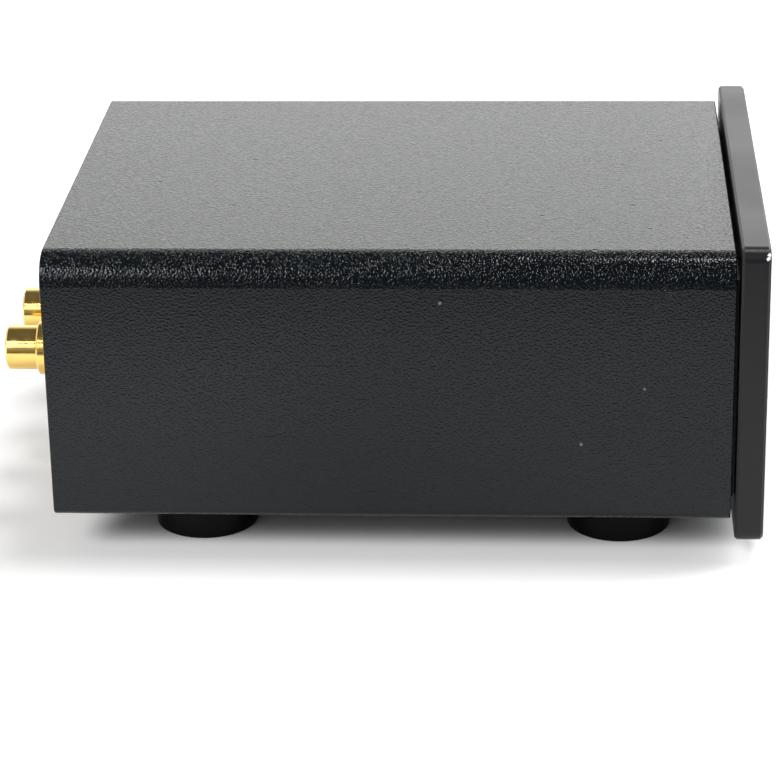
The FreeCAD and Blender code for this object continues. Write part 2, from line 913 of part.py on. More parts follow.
def ground_thumb_nut():
    """Knurled nut with a neck for the washer and a plain collar at its outer end."""
    bore = large_thread_radius + thumb_bore_fit
    start = ground_nut_height + ground_washer_thickness
    knurl_end = start + thumb_knurl_length
    end = knurl_end + thumb_collar_length
    c = knurl_end_chamfer
    blank = turned(
        [
            (ground_nut_height + thumb_neck_gap, bore),
            (ground_nut_height + thumb_neck_gap, thumb_neck_radius),
            (start, thumb_neck_radius),
            (start, thumb_nut_radius - c),
            (start + c, thumb_nut_radius),
            (knurl_end - c, thumb_nut_radius),
            (knurl_end, thumb_nut_radius - c),
            (knurl_end, thumb_collar_radius),
            (end, thumb_collar_radius, c),
            (end, bore),
        ],
        ground_origin(), Y_AXIS,
    )
    points = []
    for i in range(2 * knurl_count):
        angle = math.pi * i / knurl_count
        radius = thumb_nut_radius - knurl_depth * (i % 2)
        points.append(Vector(radius * math.cos(angle), radius * math.sin(angle), 0))
    star = Part.Face(Part.makePolygon(points + [points[0]])).extrude(Z_AXIS * end)
    return blank.common(placed(star, ground_origin(), Y_AXIS))


def can_origin(side):
    return Vector(side * can_offset_x, can_y, tray_top_z)


def shield_can(side):
    """Drawn can, open at the top, that stands on the tray."""
    inner = can_radius - can_wall
    return turned(
        [
            (0, 0),
            (0, can_radius, can_edge_radius),
            (can_height, can_radius),
            (can_height, inner),
            (can_wall, inner, can_edge_radius / 2),
            (can_wall, 0),
        ],
        can_origin(side), Z_AXIS,
    )


def shield_lid(side):
    """Disc that closes the can, with a ring that centres it and holes for four bushings."""
    ring_outer = can_radius - can_wall - lid_fit
    ring_end = can_height - pad_thickness + lid_ring_gap
    lid = turned(
        [
            (can_height, 0),
            (can_height, ring_outer - lid_ring_wall),
            (ring_end, ring_outer - lid_ring_wall),
            (ring_end, ring_outer),
            (can_height, ring_outer),
            (can_height, can_radius),
            (can_height + lid_thickness, can_radius),
            (can_height + lid_thickness, 0),
        ],
        can_origin(side), Z_AXIS,
    )
    for x, y in lead_starts(side):
        start = Vector(x, y, lid_bottom_z)
        lid = lid.cut(rod(bushing_radius + bushing_fit, start, Z_AXIS, lid_thickness))
    return lid


def lead_starts(side):
    """Places of the four leads in a lid: outer rear, outer front, inner rear, inner front."""
    places = []
    for out in (1, -1):
        for way in (1, -1):
            places.append((side * (can_offset_x + out * lead_offset_x), can_y + way * lead_offset_y))
    return places


def core(side):
    """Laminated core: a stack of E plates with a stack of I plates on its three legs."""
    centre = side * can_offset_x
    low = core_bottom_z
    joint = core_bottom_z + core_leg + window_height
    e_outline = [(centre - core_half_width, low), (centre + core_half_width, low)]
    for leg in (1, 0, -1):
        leg_half = core_leg if leg == 0 else core_leg / 2
        middle = centre + leg * (core_half_width - core_leg / 2)
        e_outline.append((middle + leg_half, joint))
        e_outline.append((middle - leg_half, joint))
        if leg > -1:
            e_outline.append((middle - leg_half, low + core_leg))
            following = centre + (leg - 1) * (core_half_width - core_leg / 2)
            following_half = core_leg if leg == 1 else core_leg / 2
            e_outline.append((following + following_half, low + core_leg))
    e_stack = plate(e_outline, "xz", can_y - core_stack / 2, core_stack)
    i_stack = box(
        Vector(centre - core_half_width, can_y - core_stack / 2, joint),
        Vector(centre + core_half_width, can_y + core_stack / 2, joint + core_leg),
    )
    return [e_stack, i_stack]


def core_pads():
    """Felt pads under and over each core."""
    pads = []
    for side in SIDES.values():
        centre = side * can_offset_x
        half_x = core_half_width - pad_margin
        half_y = core_stack / 2 - pad_margin
        for z in (core_bottom_z - pad_thickness, core_bottom_z + core_height):
            pads.append(box(
                Vector(centre - half_x, can_y - half_y, z),
                Vector(centre + half_x, can_y + half_y, z + pad_thickness),
            ))
    return pads


def coil_ring(side, half_x, half_y, thickness, low_z, height, corner_radius):
    """Rectangular ring around the middle leg, thickness wide outwards from its inner half sizes."""
    far_x = half_x + thickness
    far_y = half_y + thickness
    outer = plate(rectangle(far_x, -far_y, far_y, corner_radius, corner_radius), "xy", low_z, height)
    inner = plate(rectangle(half_x, -half_y, half_y, 0, 0), "xy", low_z, height)
    ring = outer.cut(inner)
    ring.translate(Vector(side * can_offset_x, can_y, 0))
    return ring


def bobbin(side):
    """Coil former: a tube around the middle leg with a flange at each end."""
    half_x = core_leg + bobbin_gap
    half_y = core_stack / 2 + bobbin_gap
    radius = winding_corner_radius
    former = coil_ring(side, half_x, half_y, bobbin_wall, bobbin_bottom_z, bobbin_height, 0)
    for z in (bobbin_bottom_z, bobbin_top_z - bobbin_wall):
        former = former.fuse(coil_ring(side, half_x, half_y, bobbin_flange, z, bobbin_wall, radius))
    return former.removeSplitter()


def winding(side, inner, thickness):
    """Winding on the bobbin, whose inside is the given distance out from the bobbin's tube."""
    start = bobbin_gap + bobbin_wall + winding_gap + inner
    low_z = bobbin_bottom_z + bobbin_wall + winding_end_gap
    height = bobbin_height - 2 * (bobbin_wall + winding_end_gap)
    return coil_ring(
        side, core_leg + start, core_stack / 2 + start, thickness, low_z, height, winding_corner_radius
    )


def lead_bushings():
    """Insulating bushings that carry the leads through the lids."""
    bushings = []
    for side in SIDES.values():
        for x, y in lead_starts(side):
            hole = lead_radius + lead_hole_clearance
            bushings.append(turned(
                [
                    (-lid_thickness - bushing_tail, hole),
                    (-lid_thickness - bushing_tail, bushing_radius),
                    (0, bushing_radius),
                    (0, bushing_flange_radius),
                    (bushing_flange_height, bushing_flange_radius),
                    (bushing_flange_height, hole),
                ],
                Vector(x, y, lid_top_z), Z_AXIS,
            ))
    return bushings


def clamp_strap(side):
    """Strap over a can, with a screwed foot at its front and rear."""
    r_in = strap_bend_radius
    r_out = strap_bend_radius + strap_thickness
    inner = strap_inner
    outer = inner + strap_thickness
    end = strap_end
    low = tray_top_z
    high = lid_top_z
    t = strap_thickness
    outline = [
        (can_y - end, low),
        (can_y - inner, low, r_out),
        (can_y - inner, high, r_in),
        (can_y + inner, high, r_in),
        (can_y + inner, low, r_out),
        (can_y + end, low),
        (can_y + end, low + t),
        (can_y + outer, low + t, r_in),
        (can_y + outer, high + t, r_out),
        (can_y - outer, high + t, r_out),
        (can_y - outer, low + t, r_in),
        (can_y - end, low + t),
    ]
    strap = plate(outline, "yz", side * can_offset_x - strap_width / 2, strap_width)
    for point in strap_screw_points():
        strap = strap.cut(rod(small_thread_radius + hole_clearance, point, Z_AXIS, tray_top_z + 2 * t))
    return strap


def clamp_studs():
    """Threaded studs pressed into the tray, flush below, that hold the strap feet."""
    length = tray_sheet + strap_thickness + small_nut_height + screw_tip_beyond_nut
    studs = []
    for point in strap_screw_points():
        studs.append(turned(
            [
                (0, 0),
                (0, stud_head_radius),
                (stud_head_height, stud_head_radius),
                (stud_head_height, small_thread_radius),
                (length - screw_tip_chamfer, small_thread_radius),
                (length, small_thread_radius - screw_tip_chamfer),
                (length, 0),
            ],
            point + Vector(0, 0, tray_bottom_z), Z_AXIS,
        ))
    return studs


def clamp_nuts():
    seats = [point + Vector(0, 0, tray_top_z + strap_thickness) for point in strap_screw_points()]
    return [hex_nut(small_nut_flats, small_nut_height, small_thread_radius, seat, Z_AXIS) for seat in seats]


def lead_pair(starts, socket_x):
    """Hot lead to the centre contact and return lead to the solder tag of one socket."""
    rear_start, front_start = starts
    contact_y = socket_tail_end_y()
    slope_y = contact_y - hot_lead_straight - lead_slope_length
    held = lid_top_z + bushing_flange_height - bobbin_top_z
    hot = lead(
        [
            Vector(rear_start[0], rear_start[1], bobbin_top_z),
            Vector(rear_start[0], rear_start[1], hot_top_z),
            Vector((rear_start[0] + socket_x) / 2, slope_y, hot_top_z - lead_slope),
            Vector(socket_x, contact_y - hot_lead_straight, socket_z),
            Vector(socket_x, contact_y + cup_depth, socket_z),
        ],
        held,
    )
    back = lead(
        [
            Vector(front_start[0], front_start[1], bobbin_top_z),
            Vector(front_start[0], front_start[1], return_top_z),
            Vector((front_start[0] + socket_x) / 2, slope_y, return_top_z - lead_slope),
            Vector(socket_x, tag_inner_y - return_lead_straight, tag_hole_z),
            Vector(socket_x, tag_outer_y + lead_end_in_tag, tag_hole_z),
        ],
        held,
    )
    return [hot, back]


def ground_wires():
    """Bare bus wire that runs past the four tags, and the wire from it down to the ground lug."""
    reach = SOCKETS["input"] * socket_spacing + bus_overhang
    bus_y = tag_inner_y - bus_gap - bus_radius
    bus = rod(bus_radius, Vector(-reach, bus_y, bus_z), X_AXIS, 2 * reach)
    lug_z = lug_top_z - lug_thickness
    top_z = bus_z - bus_radius - bus_gap
    rise = top_z - lug_z
    drop = lead(
        [
            Vector(ground_x, ground_lead_y(), lug_z - lead_end_in_tag),
            Vector(ground_x, ground_lead_y(), lug_z + rise * drop_first_share),
            Vector(ground_x, bus_y, lug_z + rise * drop_second_share),
            Vector(ground_x, bus_y, top_z),
        ],
        lug_thickness + lead_end_in_tag,
    )
    return [bus, drop]


def export(name, shape):
    """Write one node and print what it holds."""
    solids = shape if isinstance(shape, list) else [shape]
    kept = []
    for solid in solids:
        kept.extend(solid.Solids)
    whole = kept[0] if len(kept) == 1 else Part.makeCompound(kept)
    whole.exportStep("parts/" + name + ".step")
    volume = sum(solid.Volume for solid in kept)
    valid = all(solid.isValid() for solid in kept)
    print("%-30s solids %d volume %.1f valid %s" % (name, len(kept), volume, valid))


def export_case():
    export("cover", cover())
    export("base_tray", base_tray())
    export("rear_panel", rear_panel())
    export("front_panel", front_panel())
    export("front_panel_screws", front_panel_screws())
    export("cover_screws", cover_screws())
    export("rear_panel_screws", rear_panel_screws())
    export("clinch_nuts", clinch_nuts())
    names = ("foot_front_left", "foot_front_right", "foot_rear_left", "foot_rear_right")
    for name, point in zip(names, foot_points()):
        export(name, foot(point))
    export("foot_screws", foot_screws())
    export("foot_nuts", foot_nuts())


def export_sockets():
    places = socket_places()
    for name, x in places.items():
        export(name + "_socket_shell", socket_shell(x))
        export(name + "_socket_insulator", socket_insulator(x))
        export(name + "_socket_contact", socket_contact(x))
    export("socket_outer_washers", [outer_washer(x) for x in places.values()])
    export("socket_inner_washers", [inner_washer(x) for x in places.values()])
    export("socket_solder_tags", [solder_tag(x) for x in places.values()])
    export("socket_nuts", [socket_nut(x) for x in places.values()])


def export_ground_terminal():
    export("ground_stud", ground_stud())
    export("ground_lug", ground_lug())
    export("ground_fixing_nut", ground_fixing_nut())
    export("ground_clamp_washer", ground_clamp_washer())
    export("ground_thumb_nut", ground_thumb_nut())
    export("ground_wires", ground_wires())


def export_transformers():
    secondary_start = primary_thickness + winding_gap
    for name, side in SIDES.items():
        export(name + "_shield_can", shield_can(side))
        export(name + "_shield_lid", shield_lid(side))
        export(name + "_core", core(side))
        export(name + "_bobbin", bobbin(side))
        export(name + "_primary_winding", winding(side, 0, primary_thickness))
        export(name + "_secondary_winding", winding(side, secondary_start, secondary_thickness))
        export(name + "_clamp_strap", clamp_strap(side))
        starts = lead_starts(side)
        export(name + "_input_leads", lead_pair(starts[:2], socket_places()[name + "_input"]))
        export(name + "_output_leads", lead_pair(starts[2:], socket_places()[name + "_output"]))
    export("core_pads", core_pads())
    export("lead_bushings", lead_bushings())
    export("clamp_studs", clamp_studs())
    export("clamp_nuts", clamp_nuts())


export_case()
export_sockets()
export_ground_terminal()
export_transformers()
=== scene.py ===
import json
import math

import bmesh
import bpy
from mathutils import Matrix, Vector


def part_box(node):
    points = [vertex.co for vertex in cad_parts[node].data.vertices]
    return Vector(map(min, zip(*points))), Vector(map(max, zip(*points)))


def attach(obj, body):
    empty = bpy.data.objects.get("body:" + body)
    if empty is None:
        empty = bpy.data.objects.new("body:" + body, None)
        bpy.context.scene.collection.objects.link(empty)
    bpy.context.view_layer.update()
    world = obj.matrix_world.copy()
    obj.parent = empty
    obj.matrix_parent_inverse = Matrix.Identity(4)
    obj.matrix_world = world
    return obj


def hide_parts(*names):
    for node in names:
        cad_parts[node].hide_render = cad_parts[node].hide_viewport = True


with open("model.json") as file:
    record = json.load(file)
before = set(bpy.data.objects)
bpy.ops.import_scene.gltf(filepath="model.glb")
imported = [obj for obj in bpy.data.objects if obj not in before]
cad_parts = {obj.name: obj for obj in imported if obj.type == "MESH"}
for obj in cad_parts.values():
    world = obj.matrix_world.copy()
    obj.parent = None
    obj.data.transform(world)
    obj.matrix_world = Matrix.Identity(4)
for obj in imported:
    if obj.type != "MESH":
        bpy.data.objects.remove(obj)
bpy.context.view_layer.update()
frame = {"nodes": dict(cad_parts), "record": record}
nodes = frame["nodes"]

MM = 0.001

# Camera: the photograph's width, the focal length in its pixels, and where the camera stood and looked
PHOTO_WIDTH_PIXELS = 780
FOCAL_LENGTH_PIXELS = 3045.97
SENSOR_WIDTH_MM = 36.0
CAMERA_PLACE = Vector((-0.55250, -0.03436, 0.24455))
CAMERA_DOWN = 0.39589
CAMERA_PAN = 0.06306
CAMERA_ROLL = -0.01898
CAMERA_NEAR = 0.01
CAMERA_FAR = 20.0

# Floor and surroundings
FLOOR_HALF_SIZE = 4.0
FLOOR_WHITENESS = 1.0
WORLD_ON_FLOOR = 0.25
ROOM_DARKNESS = 0.08
ROOM_BRIGHT_SIDE = 0.4
ROOM_BRIGHT_SIDE_ABOVE = 0.14
ROOM_BRIGHT_FROM = (0.12, 0.2)
ROOM_DARK_ABOVE = (0.45, 0.82)
ROOM_DARK_BEHIND_CAMERA = (-0.2, -0.6)
FLOOR_DARK_BEHIND_CAMERA = (-110, -265)
FLOOR_DIM_TOWARD_FRONT = (60, 0)
FLOOR_DIM_SHARE = 0.27

# Lamp power for each square metre of lamp and unit of the strength given to add_softbox
LAMP_WATTS = 4

# Marks of wear, as places in millimetres: dust and pits in the wrinkle paint, and a chip at a panel
# corner. The pits are also darkened in colour as painted shade.
PAINT_DUST = (
    (0.9, 55.2, 58.7), (-39.1, 38.4, 58.7), (-38.1, -27.4, 58.7), (-21.3, -23.7, 58.7),
    (-49.3, -48.1, 34.2), (-49.3, -11.7, 50.5), (-49.3, -36.9, 23.4),
)
PAINT_PITS = (
    (-13.9, -47.0, 58.7), (-49.3, 17.6, 48.3), (-49.3, 25.6, 48.8), (-49.3, -45.4, 48.9),
    (-49.3, 41.5, 53.1), (-49.3, -55.7, 52.2), (-49.3, -51.3, 53.3),
)
PANEL_CHIP = ((-49.72, -69.35, 59.25), (-49.4, -69.55, 59.85))
DUST_RADIUS = 0.36
PIT_RADIUS = 0.42
CHIP_RADIUS = 0.43
MARK_RIM = 0.3
CHIP_RIM = 0.6
RIM_GRAIN = 2.2
MARK_CORE = 0.6

# Relief of the finishes, in millimetres
WRINKLE_RELIEF = 0.027
PANEL_RELIEF = 0.006
PAINT_RELIEF = 0.006
RUBBER_RELIEF = 0.012
GOLD_RELIEF = 0.0015
MOULDED_RELIEF = 0.004
PLATED_RELIEF = 0.003
DRAWN_RELIEF = 0.005
CORE_RELIEF = 0.03
FELT_RELIEF = 0.12
TIN_RELIEF = 0.03
PLATE_THICKNESS = 0.35
PRIMARY_WIRE = 0.3
SECONDARY_WIRE = 0.15
WIRE_RELIEF_SHARE = 0.4

# Ground stud, in millimetres: its thread is cut with the pitch that the thumb nut climbs
THREAD_PITCH = 0.7
THREAD_DEPTH = 0.43
THREAD_FLAT = 0.15
THREAD_SEGMENTS = 36
THREAD_STEPS = 12
STUD_ROUND_STEPS = 4
STUD_RADIUS = 2.0
STUD_HEAD_HEIGHT = 2.4
STUD_HEAD_ROUND = 0.8
STUD_TIP_CHAMFER = 0.6
STUD_SHARP_ANGLE = math.radians(35)
MERGE_DISTANCE = 1e-6


class Finish:
    """A material, with short calls for the nodes that give its colour, grain and relief.

    Places are in millimetres in the object's own frame, so every scale is per millimetre.
    """

    def __init__(self, name, metallic=0.0, specular=0.5):
        self.material = bpy.data.materials.new(name)
        self.material.use_nodes = True
        self.tree = self.material.node_tree
        self.shader = self.tree.nodes["Principled BSDF"]
        self.shader.inputs["Metallic"].default_value = metallic
        self.shader.inputs["Specular IOR Level"].default_value = specular
        self.coordinates = self.node("ShaderNodeTexCoord").outputs["Object"]
        self.place = self.stretched(1, 1, 1)
        self.normal = None

    def put(self, socket, value):
        """Give a socket a number or colour, or join it to another node's output."""
        if isinstance(value, bpy.types.NodeSocket):
            self.tree.links.new(value, socket)
        else:
            socket.default_value = value

    def put_colour(self, socket, colour):
        """Give a socket three numbers as an opaque colour, or join it to another node's output."""
        self.put(socket, colour if isinstance(colour, bpy.types.NodeSocket) else (*colour, 1))

    def node(self, kind, settings=None, **inputs):
        made = self.tree.nodes.new(kind)
        for name, value in (settings or {}).items():
            setattr(made, name, value)
        for name, value in inputs.items():
            self.put(made.inputs[name], value)
        return made

    def stretched(self, x, y, z):
        """Places in millimetres, multiplied along each axis."""
        mapping = self.node("ShaderNodeMapping", Vector=self.coordinates)
        mapping.inputs["Scale"].default_value = (x / MM, y / MM, z / MM)
        return mapping.outputs["Vector"]

    def noise(self, scale, detail=2.0, roughness=0.5, distortion=0.0, place=None):
        made = self.node(
            "ShaderNodeTexNoise", Vector=place or self.place, Scale=scale, Detail=detail,
            Roughness=roughness, Distortion=distortion,
        )
        return made.outputs["Fac"]

    def cells(self, scale):
        """Voronoi cells: distance to the nearest centre, and a random value for each cell."""
        made = self.node("ShaderNodeTexVoronoi", Vector=self.place, Scale=scale)
        split = self.node("ShaderNodeSeparateColor", Color=made.outputs["Color"])
        return made.outputs["Distance"], split.outputs["Red"]

    def sum(self, a, b, share=1.0):
        """a plus a share of b."""
        made = self.node("ShaderNodeMath", {"operation": "MULTIPLY_ADD"})
        self.put(made.inputs[0], b)
        self.put(made.inputs[1], share)
        self.put(made.inputs[2], a)
        return made.outputs[0]

    def math(self, operation, a, b=0.0):
        made = self.node("ShaderNodeMath", {"operation": operation})
        self.put(made.inputs[0], a)
        self.put(made.inputs[1], b)
        return made.outputs[0]

    def levels(self, value, low, high, to_low=0.0, to_high=1.0):
        """value, spread from low..high to to_low..to_high and held at those ends."""
        made = self.node("ShaderNodeMapRange", {"interpolation_type": "SMOOTHSTEP"}, Value=value)
        made.inputs["From Min"].default_value = low
        made.inputs["From Max"].default_value = high
        made.inputs["To Min"].default_value = to_low
        made.inputs["To Max"].default_value = to_high
        return made.outputs["Result"]

    def blend(self, share, first, second):
        """Colour from first, where share is 0, to second, where it is 1."""
        made = self.node("ShaderNodeMix", {"data_type": "RGBA"})
        self.put(made.inputs["Factor"], share)
        self.put_colour(made.inputs["A"], first)
        self.put_colour(made.inputs["B"], second)
        return made.outputs["Result"]

    def ridges(self, axis, period):
        """Regular ridges from 0 to 1, one to a period in millimetres along an axis."""
        split = self.node("ShaderNodeSeparateXYZ", Vector=self.place)
        turns = self.math("MULTIPLY", split.outputs[axis], 2 * math.pi / period)
        return self.sum(0.5, self.math("SINE", turns), 0.5)

    def distance_from(self, point_mm):
        """Distance in millimetres from a point of the object."""
        made = self.node("ShaderNodeVectorMath", {"operation": "DISTANCE"})
        self.put(made.inputs[0], self.place)
        made.inputs[1].default_value = point_mm
        return made.outputs["Value"]

    def spots(self, places, radius, ragged):
        """1 near each of the places in millimetres and 0 beyond the radius, with a ragged rim."""
        rim = self.sum(0.0, self.sum(-0.5, self.noise(RIM_GRAIN)), ragged)
        mask = 0.0
        for spot in places:
            reach = self.sum(self.distance_from(spot), rim)
            mask = self.math("MAXIMUM", mask, self.levels(reach, radius * MARK_CORE, radius, 1.0, 0.0))
        return mask

    def relief(self, height, depth_mm):
        """Raise the surface by up to depth where height is 1."""
        made = self.node("ShaderNodeBump", Height=height, Strength=1.0)
        made.inputs["Distance"].default_value = depth_mm * MM
        if self.normal is not None:
            self.put(made.inputs["Normal"], self.normal)
        self.normal = made.outputs["Normal"]

    def done(self, colour, roughness):
        """Join colour, roughness and relief to the shader and return the material."""
        self.put_colour(self.shader.inputs["Base Color"], colour)
        self.put(self.shader.inputs["Roughness"], roughness)
        if self.normal is not None:
            self.put(self.shader.inputs["Normal"], self.normal)
        return self.material


def wrinkle_paint():
    """Black wrinkle paint: fine beads over a low swell, with pits and specks of dust. The pits are also
    darker in colour, which is painted shade in the hollows.
    """
    finish = Finish("wrinkle_paint", specular=0.35)
    grain = finish.noise(2.6, detail=0.0, distortion=0.3)
    beads = finish.levels(grain, 0.5, 0.7)
    near, chosen = finish.cells(0.16)
    pinholes = finish.levels(near, 0.04, 0.09, 1.0, 0.0)
    pinholes = finish.math("MULTIPLY", pinholes, finish.levels(chosen, 0.5, 0.52))
    pits_and_painted_shade = finish.math("MAXIMUM", pinholes, finish.spots(PAINT_PITS, PIT_RADIUS, MARK_RIM))
    finish.relief(finish.sum(finish.sum(beads, grain), pits_and_painted_shade, -2.5), WRINKLE_RELIEF)
    # the pits and pinholes keep their real relief, and their darker colour is painted shade in the hollows
    colour = finish.blend(pits_and_painted_shade, (0.002, 0.0034, 0.0047), (0.001, 0.001, 0.001))
    dust = finish.spots(PAINT_DUST, DUST_RADIUS, MARK_RIM)
    return finish.done(finish.blend(dust, colour, (0.11, 0.11, 0.105)), 0.08)


def satin_panel():
    """Satin black plate with a very fine grain and one chipped corner of bare metal."""
    finish = Finish("anodised_black", specular=0.31)
    grain = finish.noise(4.5)
    cloud = finish.noise(0.06)
    chip = finish.spots(PANEL_CHIP, CHIP_RADIUS, CHIP_RIM)
    finish.relief(finish.sum(grain, chip, -8.0), PANEL_RELIEF)
    colour = finish.blend(cloud, (0.0075, 0.0078, 0.0088), (0.009, 0.0094, 0.0104))
    colour = finish.blend(chip, colour, (0.82, 0.82, 0.80))
    return finish.done(colour, finish.levels(cloud, 0.3, 0.7, 0.3, 0.36))


def smooth_paint():
    """Smooth satin black paint with a slight orange peel."""
    finish = Finish("smooth_paint", specular=0.3)
    peel = finish.noise(1.4, detail=1.0)
    cloud = finish.noise(0.08)
    finish.relief(peel, PAINT_RELIEF)
    return finish.done(finish.blend(cloud, (0.0045, 0.0045, 0.005), (0.007, 0.007, 0.0075)), 0.38)


def rubber():
    """Matt black rubber with a finely stippled moulded surface."""
    finish = Finish("rubber", specular=0.14)
    stipple = finish.noise(5.0)
    dust = finish.noise(0.5, detail=4.0, roughness=0.6)
    finish.relief(stipple, RUBBER_RELIEF)
    colour = finish.blend(finish.levels(dust, 0.55, 0.8), (0.0008, 0.0009, 0.001), (0.003, 0.003, 0.0029))
    return finish.done(colour, 0.22)


def gold():
    """Bright gold plating over turned brass, with faint rings from the tool."""
    finish = Finish("gold", metallic=1.0)
    rings = finish.noise(1.0, detail=3.0, place=finish.stretched(0.05, 9.0, 0.05))
    stain = finish.noise(0.6, detail=3.0)
    finish.relief(rings, GOLD_RELIEF)
    colour = finish.blend(stain, (0.97, 0.62, 0.16), (1.0, 0.71, 0.24))
    return finish.done(colour, finish.levels(stain, 0.3, 0.7, 0.10, 0.17))


def moulded(name, colour_a, colour_b, roughness):
    """Moulded plastic with a faint mould texture and a little colour drift."""
    finish = Finish(name, specular=0.45)
    cloud = finish.noise(0.7)
    finish.relief(finish.noise(6.0, detail=1.0), MOULDED_RELIEF)
    return finish.done(finish.blend(cloud, colour_a, colour_b), roughness)


def plated_metal(name, colour_a, colour_b, roughness_low, roughness_high):
    """Turned and plated metal: fine rings along the length and slight staining."""
    finish = Finish(name, metallic=1.0)
    rings = finish.noise(1.0, detail=3.0, place=finish.stretched(0.2, 8.0, 0.2))
    stain = finish.noise(0.5, detail=3.0, roughness=0.6)
    finish.relief(rings, PLATED_RELIEF)
    roughness = finish.levels(stain, 0.3, 0.7, roughness_low, roughness_high)
    return finish.done(finish.blend(stain, colour_a, colour_b), roughness)


def can_steel():
    """Drawn and annealed nickel iron: vertical drawing marks and a faint heat tint."""
    finish = Finish("can_steel", metallic=1.0)
    drawn = finish.noise(1.0, detail=3.0, place=finish.stretched(5.0, 5.0, 0.1))
    tint = finish.noise(0.07)
    finish.relief(drawn, DRAWN_RELIEF)
    colour = finish.blend(tint, (0.44, 0.43, 0.42), (0.56, 0.53, 0.48))
    return finish.done(colour, finish.levels(tint, 0.3, 0.7, 0.38, 0.5))


def core_laminations():
    """Stack of thin plates, whose edges show as fine lines."""
    finish = Finish("core_laminations", metallic=1.0)
    plates = finish.ridges("Y", PLATE_THICKNESS)
    rough = finish.noise(3.0, detail=3.0)
    finish.relief(finish.sum(plates, rough, 0.4), CORE_RELIEF)
    colour = finish.blend(plates, (0.16, 0.15, 0.15), (0.40, 0.39, 0.37))
    return finish.done(colour, finish.levels(rough, 0.3, 0.7, 0.4, 0.6))


def felt():
    """Grey felt with matted fibres."""
    finish = Finish("felt", specular=0.15)
    fibres = finish.noise(4.0, detail=6.0, roughness=0.75, distortion=2.5)
    finish.relief(fibres, FELT_RELIEF)
    finish.shader.inputs["Sheen Weight"].default_value = 0.4
    return finish.done(finish.blend(fibres, (0.12, 0.115, 0.11), (0.42, 0.40, 0.37)), 0.95)


def winding_wire(name, wire_mm, dark, light):
    """Enamelled wire laid turn beside turn, with a few turns that stand proud. The grooves between turns
    are painted darker and the crowns lighter, as painted shade and painted highlight.
    """
    finish = Finish(name, metallic=0.7)
    turns = finish.ridges("Z", wire_mm)
    uneven = finish.noise(1.0, place=finish.stretched(0.1, 0.1, 0.5 / wire_mm))
    finish.relief(finish.sum(turns, uneven, 0.5), wire_mm * WIRE_RELIEF_SHARE)
    finish.shader.inputs["Coat Weight"].default_value = 0.5
    finish.shader.inputs["Coat Roughness"].default_value = 0.15
    # painted shade in the grooves between turns and painted highlight on their crowns, dimmed at random
    # along the coil
    painted_shade_and_highlight = finish.math("MULTIPLY", turns, finish.levels(uneven, 0.2, 0.8, 0.6, 1.0))
    return finish.done(finish.blend(painted_shade_and_highlight, dark, light), 0.3)


def tinned_wire():
    """Tinned copper wire with a dull, slightly uneven tin coat."""
    finish = Finish("tinned_wire", metallic=1.0)
    lumps = finish.noise(1.6, detail=3.0)
    finish.relief(lumps, TIN_RELIEF)
    colour = finish.blend(lumps, (0.58, 0.58, 0.57), (0.80, 0.80, 0.78))
    return finish.done(colour, finish.levels(lumps, 0.3, 0.7, 0.25, 0.4))


def make_materials():
    """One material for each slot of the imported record."""
    return {
        "wrinkle_paint": wrinkle_paint(),
        "anodised_black": satin_panel(),
        "smooth_paint": smooth_paint(),
        "rubber": rubber(),
        "gold": gold(),
        "left_insulator": moulded("left_insulator", (0.80, 0.79, 0.74), (0.86, 0.85, 0.81), 0.35),
        "right_insulator": moulded("right_insulator", (0.50, 0.016, 0.012), (0.58, 0.026, 0.018), 0.3),
        "washer_plastic": moulded("washer_plastic", (0.012, 0.012, 0.013), (0.02, 0.02, 0.021), 0.4),
        "bobbin_nylon": moulded("bobbin_nylon", (0.66, 0.63, 0.53), (0.74, 0.72, 0.64), 0.42),
        "left_lead": moulded("left_lead", (0.74, 0.74, 0.72), (0.82, 0.82, 0.80), 0.38),
        "right_lead": moulded("right_lead", (0.48, 0.018, 0.014), (0.56, 0.03, 0.02), 0.38),
        "nickel_brass": plated_metal("nickel_brass", (0.62, 0.59, 0.53), (0.72, 0.69, 0.63), 0.16, 0.26),
        "tinned_brass": plated_metal("tinned_brass", (0.64, 0.63, 0.6), (0.74, 0.73, 0.7), 0.3, 0.42),
        "steel_screw": plated_metal("steel_screw", (0.52, 0.52, 0.52), (0.62, 0.62, 0.6), 0.24, 0.36),
        "black_screw": plated_metal("black_screw", (0.018, 0.018, 0.02), (0.03, 0.03, 0.032), 0.3, 0.42),
        "can_steel": can_steel(),
        "core_laminations": core_laminations(),
        "felt": felt(),
        "primary_wire": winding_wire(
            "primary_wire", PRIMARY_WIRE, (0.20, 0.06, 0.02), (0.78, 0.34, 0.14),
        ),
        "secondary_wire": winding_wire(
            "secondary_wire", SECONDARY_WIRE, (0.16, 0.04, 0.015), (0.62, 0.22, 0.08),
        ),
        "tinned_wire": tinned_wire(),
    }


def dress_nodes(materials):
    """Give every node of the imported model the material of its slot."""
    for part in frame["record"]["subparts"]:
        mesh = nodes[part["node"]].data
        mesh.materials.clear()
        mesh.materials.append(materials[part["material_slot"]])


def thread_radius(y, segment, tip_y):
    """Radius of the threaded shank at a place along it and a segment around it."""
    along = ((y - tip_y) / THREAD_PITCH - segment / THREAD_SEGMENTS) % 1.0
    rise = min(1.0, max(0.0, (abs(2 * along - 1) - THREAD_FLAT) / (1 - 2 * THREAD_FLAT)))
    most = STUD_RADIUS - max(0.0, y - (tip_y - STUD_TIP_CHAMFER))
    return min(most, STUD_RADIUS - THREAD_DEPTH * (1 - rise))


